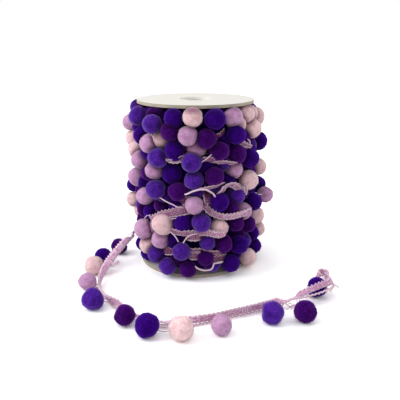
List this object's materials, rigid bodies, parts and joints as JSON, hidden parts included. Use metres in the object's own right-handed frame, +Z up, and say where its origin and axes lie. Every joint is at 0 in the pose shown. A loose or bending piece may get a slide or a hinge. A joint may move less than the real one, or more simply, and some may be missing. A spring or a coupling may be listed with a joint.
{
  "type": "roll of pompom trim",
  "caption": "Card reel wound with braid that carries small round pompoms, standing on end, with a loose tail of the trim laid in a curve on the floor.",
  "frame": {"origin": "point of the floor on the reel's axis, under the middle of the reel", "axes": "+Z up along the reel's axis, -Y towards the tail's long curve, +X to the right seen from the tail's side"},
  "size_m": [0.1248, 0.1273, 0.087],
  "materials": {
    "white_card": "matte",
    "wound_yarn": "matte",
    "mauve_braid": "matte",
    "aubergine_yarn": "matte",
    "indigo_yarn": "matte",
    "cream_yarn": "matte",
    "lilac_yarn": "matte",
    "violet_yarn": "matte"
  },
  "bodies": {
    "root": {"flange_bottom": "white_card", "core_tube": "white_card", "flange_top": "white_card", "wound_trim": "wound_yarn", "tail_tape": "mauve_braid", "tail_knot": "mauve_braid", "tail_pompom_01": "aubergine_yarn", "tail_pompom_02": "indigo_yarn", "tail_pompom_03": "cream_yarn", "tail_pompom_04": "lilac_yarn", "tail_pompom_05": "violet_yarn", "tail_pompom_06": "aubergine_yarn", "tail_pompom_07": "indigo_yarn", "tail_pompom_08": "cream_yarn", "tail_pompom_09": "lilac_yarn", "tail_pompom_10": "violet_yarn", "tail_pompom_11": "aubergine_yarn", "tail_pompom_12": "indigo_yarn"}
  },
  "joints": []
}
